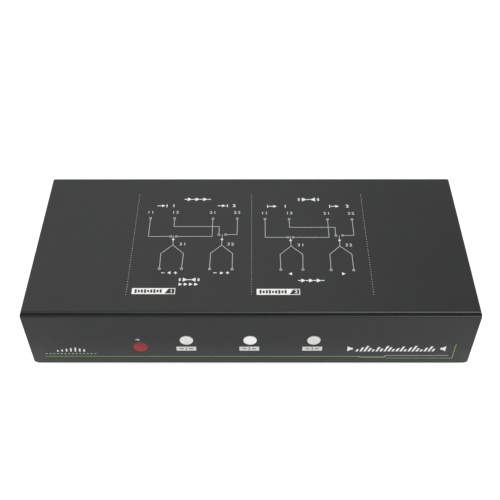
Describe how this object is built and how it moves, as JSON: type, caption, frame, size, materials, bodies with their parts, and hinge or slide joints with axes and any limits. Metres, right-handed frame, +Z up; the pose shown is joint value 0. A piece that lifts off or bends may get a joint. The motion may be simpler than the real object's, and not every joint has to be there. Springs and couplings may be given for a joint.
{
  "type": "speaker selector switch",
  "caption": "Flat folded-metal box that switches speaker wiring with relays: illuminated push buttons and an infrared window in front, screw-down binding posts and a power inlet behind.",
  "frame": {"origin": "centre of the whole outline on the surface that the feet stand on", "axes": "+X to the right seen from the front, +Y from the front panel to the rear, +Z up"},
  "size_m": [0.2438, 0.1276, 0.0479],
  "materials": {
    "base_tray": "fine matt black powder coat on folded steel",
    "board_screws": "zinc plated",
    "board_standoffs": "nickel plated",
    "button_guide": "black moulding",
    "button_lamps": "white lamp chips",
    "button_left": "milky translucent plastic",
    "button_middle": "milky translucent plastic",
    "button_right": "milky translucent plastic",
    "capacitors": "dark sleeve",
    "controller_chip": "black epoxy with tinned legs",
    "cover_screws": "blackened steel",
    "foot_screws": "zinc plated",
    "front_board": "green solder mask",
    "front_board_screws": "zinc plated",
    "front_board_spacers": "nickel plated",
    "ir_receiver": "black epoxy",
    "ir_window": "dark red plastic",
    "main_board": "green solder mask",
    "plunger_left": "black plastic",
    "plunger_middle": "black plastic",
    "plunger_right": "black plastic",
    "post_bases_black": "black plastic",
    "post_bases_red": "red plastic",
    "post_cap_01": "black plastic",
    "post_cap_02": "red plastic",
    "post_cap_03": "black plastic",
    "post_cap_04": "red plastic",
    "post_cap_05": "black plastic",
    "post_cap_06": "red plastic",
    "post_cap_07": "black plastic",
    "post_cap_08": "red plastic",
    "post_cap_09": "black plastic",
    "post_cap_10": "red plastic",
    "post_cap_11": "black plastic",
    "post_cap_12": "red plastic",
    "post_inner_washers": "black plastic",
    "post_nuts": "nickel plated",
    "post_studs": "gold-coloured plating",
    "post_tags": "tinned brass",
    "power_jack": "black plastic",
    "power_jack_pin": "nickel plated",
    "relay_armature_1": "soft iron with bronze blades",
    "relay_armature_2": "soft iron with bronze blades",
    "relay_armature_3": "soft iron with bronze blades",
    "relay_armature_4": "soft iron with bronze blades",
    "relay_bases": "black plastic",
    "relay_cases": "blue plastic",
    "relay_coils": "enamelled copper wire",
    "relay_contacts": "brass strip, silver contacts",
    "relay_driver": "black epoxy with tinned legs",
    "relay_yokes": "soft iron",
    "ribbon_cable": "grey ribbon",
    "ribbon_sockets": "natural nylon",
    "rubber_feet": "matt black rubber",
    "tact_switches": "black plastic with tinned legs",
    "top_cover": "fine matt black powder coat on folded steel, white printed wiring lines",
    "voltage_regulator": "black epoxy on a tinned tab"
  },
  "bodies": {
    "case": {"base_tray": "base_tray", "board_screws": "board_screws", "board_standoffs": "board_standoffs", "button_guide": "button_guide", "button_lamps": "button_lamps", "capacitors": "capacitors", "controller_chip": "controller_chip", "cover_screws": "cover_screws", "foot_screws": "foot_screws", "front_board": "front_board", "front_board_screws": "front_board_screws", "front_board_spacers": "front_board_spacers", "ir_receiver": "ir_receiver", "ir_window": "ir_window", "main_board": "main_board", "post_bases_black": "post_bases_black", "post_bases_red": "post_bases_red", "post_inner_washers": "post_inner_washers", "post_nuts": "post_nuts", "post_studs": "post_studs", "post_tags": "post_tags", "power_jack": "power_jack", "power_jack_pin": "power_jack_pin", "relay_bases": "relay_bases", "relay_cases": "relay_cases", "relay_coils": "relay_coils", "relay_contacts": "relay_contacts", "relay_driver": "relay_driver", "relay_yokes": "relay_yokes", "ribbon_cable": "ribbon_cable", "ribbon_sockets": "ribbon_sockets", "rubber_feet": "rubber_feet", "tact_switches": "tact_switches", "top_cover": "top_cover", "voltage_regulator": "voltage_regulator"},
    "button_left_body": {"button_left": "button_left", "plunger_left": "plunger_left"},
    "button_middle_body": {"button_middle": "button_middle", "plunger_middle": "plunger_middle"},
    "button_right_body": {"button_right": "button_right", "plunger_right": "plunger_right"},
    "armature_1_body": {"relay_armature_1": "relay_armature_1"},
    "armature_2_body": {"relay_armature_2": "relay_armature_2"},
    "armature_3_body": {"relay_armature_3": "relay_armature_3"},
    "armature_4_body": {"relay_armature_4": "relay_armature_4"},
    "cap_01_body": {"post_cap_01": "post_cap_01"},
    "cap_02_body": {"post_cap_02": "post_cap_02"},
    "cap_03_body": {"post_cap_03": "post_cap_03"},
    "cap_04_body": {"post_cap_04": "post_cap_04"},
    "cap_05_body": {"post_cap_05": "post_cap_05"},
    "cap_06_body": {"post_cap_06": "post_cap_06"},
    "cap_07_body": {"post_cap_07": "post_cap_07"},
    "cap_08_body": {"post_cap_08": "post_cap_08"},
    "cap_09_body": {"post_cap_09": "post_cap_09"},
    "cap_10_body": {"post_cap_10": "post_cap_10"},
    "cap_11_body": {"post_cap_11": "post_cap_11"},
    "cap_12_body": {"post_cap_12": "post_cap_12"}
  },
  "joints": [
    {"name": "button_left_press", "type": "slide", "parent": "case", "child": "button_left_body", "axis": [0, 1, 0], "range_m": [0, 0.0004], "stiffness_N_per_m": 3000, "springref_m": -0.0001},
    {"name": "button_middle_press", "type": "slide", "parent": "case", "child": "button_middle_body", "axis": [0, 1, 0], "range_m": [0, 0.0004], "stiffness_N_per_m": 3000, "springref_m": -0.0001},
    {"name": "button_right_press", "type": "slide", "parent": "case", "child": "button_right_body", "axis": [0, 1, 0], "range_m": [0, 0.0004], "stiffness_N_per_m": 3000, "springref_m": -0.0001},
    {"name": "armature_1_rock", "type": "hinge", "parent": "case", "child": "armature_1_body", "pos_m": [-0.08825, 0.013, 0.0309], "axis": [0, 1, 0], "range_deg": [0, 3.5], "stiffness_Nm_per_rad": 0.02, "springref_deg": -2.86},
    {"name": "armature_2_rock", "type": "hinge", "parent": "case", "child": "armature_2_body", "pos_m": [-0.04625, 0.013, 0.0309], "axis": [0, 1, 0], "range_deg": [0, 3.5], "stiffness_Nm_per_rad": 0.02, "springref_deg": -2.86},
    {"name": "armature_3_rock", "type": "hinge", "parent": "case", "child": "armature_3_body", "pos_m": [0.02575, 0.013, 0.0309], "axis": [0, 1, 0], "range_deg": [0, 3.5], "stiffness_Nm_per_rad": 0.02, "springref_deg": -2.86},
    {"name": "armature_4_rock", "type": "hinge", "parent": "case", "child": "armature_4_body", "pos_m": [0.06775, 0.013, 0.0309], "axis": [0, 1, 0], "range_deg": [0, 3.5], "stiffness_Nm_per_rad": 0.02, "springref_deg": -2.86},
    {"name": "cap_01_unscrew", "type": "slide", "parent": "case", "child": "cap_01_body", "axis": [0, 1, 0], "range_m": [0, 0.004]},
    {"name": "cap_02_unscrew", "type": "slide", "parent": "case", "child": "cap_02_body", "axis": [0, 1, 0], "range_m": [0, 0.004]},
    {"name": "cap_03_unscrew", "type": "slide", "parent": "case", "child": "cap_03_body", "axis": [0, 1, 0], "range_m": [0, 0.004]},
    {"name": "cap_04_unscrew", "type": "slide", "parent": "case", "child": "cap_04_body", "axis": [0, 1, 0], "range_m": [0, 0.004]},
    {"name": "cap_05_unscrew", "type": "slide", "parent": "case", "child": "cap_05_body", "axis": [0, 1, 0], "range_m": [0, 0.004]},
    {"name": "cap_06_unscrew", "type": "slide", "parent": "case", "child": "cap_06_body", "axis": [0, 1, 0], "range_m": [0, 0.004]},
    {"name": "cap_07_unscrew", "type": "slide", "parent": "case", "child": "cap_07_body", "axis": [0, 1, 0], "range_m": [0, 0.004]},
    {"name": "cap_08_unscrew", "type": "slide", "parent": "case", "child": "cap_08_body", "axis": [0, 1, 0], "range_m": [0, 0.004]},
    {"name": "cap_09_unscrew", "type": "slide", "parent": "case", "child": "cap_09_body", "axis": [0, 1, 0], "range_m": [0, 0.004]},
    {"name": "cap_10_unscrew", "type": "slide", "parent": "case", "child": "cap_10_body", "axis": [0, 1, 0], "range_m": [0, 0.004]},
    {"name": "cap_11_unscrew", "type": "slide", "parent": "case", "child": "cap_11_body", "axis": [0, 1, 0], "range_m": [0, 0.004]},
    {"name": "cap_12_unscrew", "type": "slide", "parent": "case", "child": "cap_12_body", "axis": [0, 1, 0], "range_m": [0, 0.004]}
  ],
  "couplings": [
    {"joint": "armature_2_rock", "follows": "armature_1_rock", "ratio": 1},
    {"joint": "armature_4_rock", "follows": "armature_3_rock", "ratio": 1}
  ]
}
